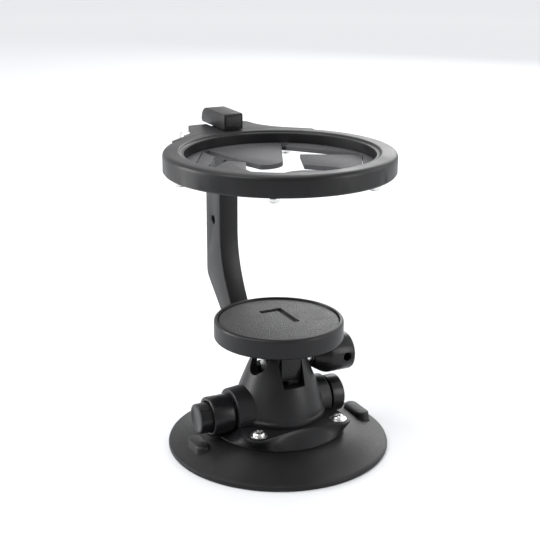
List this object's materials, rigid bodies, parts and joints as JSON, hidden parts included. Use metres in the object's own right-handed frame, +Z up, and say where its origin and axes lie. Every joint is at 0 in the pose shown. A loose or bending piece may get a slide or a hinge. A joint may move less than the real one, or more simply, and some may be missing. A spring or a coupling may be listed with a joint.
{
  "type": "cup holder",
  "caption": "Black suction-mounted drink holder for a vehicle: round tray and padded ring on one arm, on a pump-down vacuum cup",
  "frame": {"origin": "middle of the bounding box in plan, at the height of the suction cup's foot", "axes": "+Z up along the holder; +X across it, along the pump, the knob and the hinge axes; +Y from the front of the ring to the arm"},
  "size_m": [0.114, 0.141, 0.1632],
  "materials": {
    "suction_rubber": "satin moulded rubber",
    "seal_rubber": "matt",
    "shell_plastic": "fine grained, semi-matt black",
    "pump_plastic": "smooth, semi-matt black",
    "pad_rubber": "pebbled black",
    "grip_rubber": "matt charcoal",
    "screw_steel": "bright"
  },
  "bodies": {
    "root": {"suction_cup": "suction_rubber", "base_plate": "shell_plastic", "base_screw_1": "screw_steel", "base_screw_2": "screw_steel", "base_screw_3": "screw_steel", "base_screw_4": "screw_steel", "housing": "shell_plastic", "pump_cylinder": "pump_plastic", "pump_collar": "pump_plastic", "pump_end_cap": "pump_plastic", "vacuum_stem": "pump_plastic", "check_valve": "seal_rubber", "pivot_post": "pump_plastic"},
    "pump": {"pump_button": "pump_plastic", "pump_rod": "screw_steel", "piston_seal": "seal_rubber", "pump_spring": "screw_steel"},
    "holder": {"tilt_hub": "pump_plastic", "tray": "shell_plastic", "tray_pad": "pad_rubber", "tray_screw": "screw_steel", "arm": "shell_plastic"},
    "knob": {"tilt_knob": "pump_plastic", "clamp_screw": "screw_steel", "clamp_nut": "screw_steel"},
    "ring": {"ring_body": "shell_plastic", "ring_base": "shell_plastic", "grip_ring": "grip_rubber", "fold_pin": "screw_steel", "ring_screw_1": "screw_steel", "ring_screw_2": "screw_steel", "ring_screw_3": "screw_steel", "ring_screw_4": "screw_steel", "ring_screw_5": "screw_steel", "ring_screw_6": "screw_steel"},
    "catch": {"slide_catch": "shell_plastic", "catch_pin": "screw_steel"},
    "petal_1": {"grip_petal_1": "grip_rubber"},
    "petal_2": {"grip_petal_2": "grip_rubber"},
    "petal_3": {"grip_petal_3": "grip_rubber"},
    "petal_4": {"grip_petal_4": "grip_rubber"},
    "petal_5": {"grip_petal_5": "grip_rubber"},
    "petal_6": {"grip_petal_6": "grip_rubber"}
  },
  "joints": [
    {"name": "pump_slide", "type": "slide", "parent": "root", "child": "pump", "axis": [1, 0, 0], "range_m": [0, 0.006], "stiffness_N_per_m": 120, "springref_m": -0.002, "deforming": ["pump_spring"]},
    {"name": "holder_tilt", "type": "hinge", "parent": "root", "child": "holder", "pos_m": [0, -0.0135, 0.044], "axis": [1, 0, 0], "range_deg": [-10, 8]},
    {"name": "knob_turn", "type": "hinge", "parent": "holder", "child": "knob", "pos_m": [0, -0.0135, 0.044], "axis": [1, 0, 0], "continuous": true},
    {"name": "ring_fold", "type": "hinge", "parent": "holder", "child": "ring", "pos_m": [0, 0.0565, 0.1496], "axis": [-1, 0, 0], "range_deg": [0, 90]},
    {"name": "catch_slide", "type": "slide", "parent": "ring", "child": "catch", "axis": [0, 1, 0], "range_m": [0, 0.004]},
    {"name": "petal_bend_1", "type": "hinge", "parent": "ring", "child": "petal_1", "pos_m": [0, 0.0266, 0.1461], "axis": [1, 0, 0], "range_deg": [0, 60], "stiffness_Nm_per_rad": 0.012, "springref_deg": -171.89},
    {"name": "petal_bend_2", "type": "hinge", "parent": "ring", "child": "petal_2", "pos_m": [-0.03473, 0.00655, 0.1461], "axis": [0.5, 0.866, 0], "range_deg": [0, 60], "stiffness_Nm_per_rad": 0.012, "springref_deg": -171.89},
    {"name": "petal_bend_3", "type": "hinge", "parent": "ring", "child": "petal_3", "pos_m": [-0.03473, -0.03355, 0.1461], "axis": [-0.5, 0.866, 0], "range_deg": [0, 60], "stiffness_Nm_per_rad": 0.012, "springref_deg": -171.89},
    {"name": "petal_bend_4", "type": "hinge", "parent": "ring", "child": "petal_4", "pos_m": [0, -0.0536, 0.1461], "axis": [-1, 0, 0], "range_deg": [0, 60], "stiffness_Nm_per_rad": 0.012, "springref_deg": -171.89},
    {"name": "petal_bend_5", "type": "hinge", "parent": "ring", "child": "petal_5", "pos_m": [0.03473, -0.03355, 0.1461], "axis": [-0.5, -0.866, 0], "range_deg": [0, 60], "stiffness_Nm_per_rad": 0.012, "springref_deg": -171.89},
    {"name": "petal_bend_6", "type": "hinge", "parent": "ring", "child": "petal_6", "pos_m": [0.03473, 0.00655, 0.1461], "axis": [0.5, -0.866, 0], "range_deg": [0, 60], "stiffness_Nm_per_rad": 0.012, "springref_deg": -171.89}
  ]
}
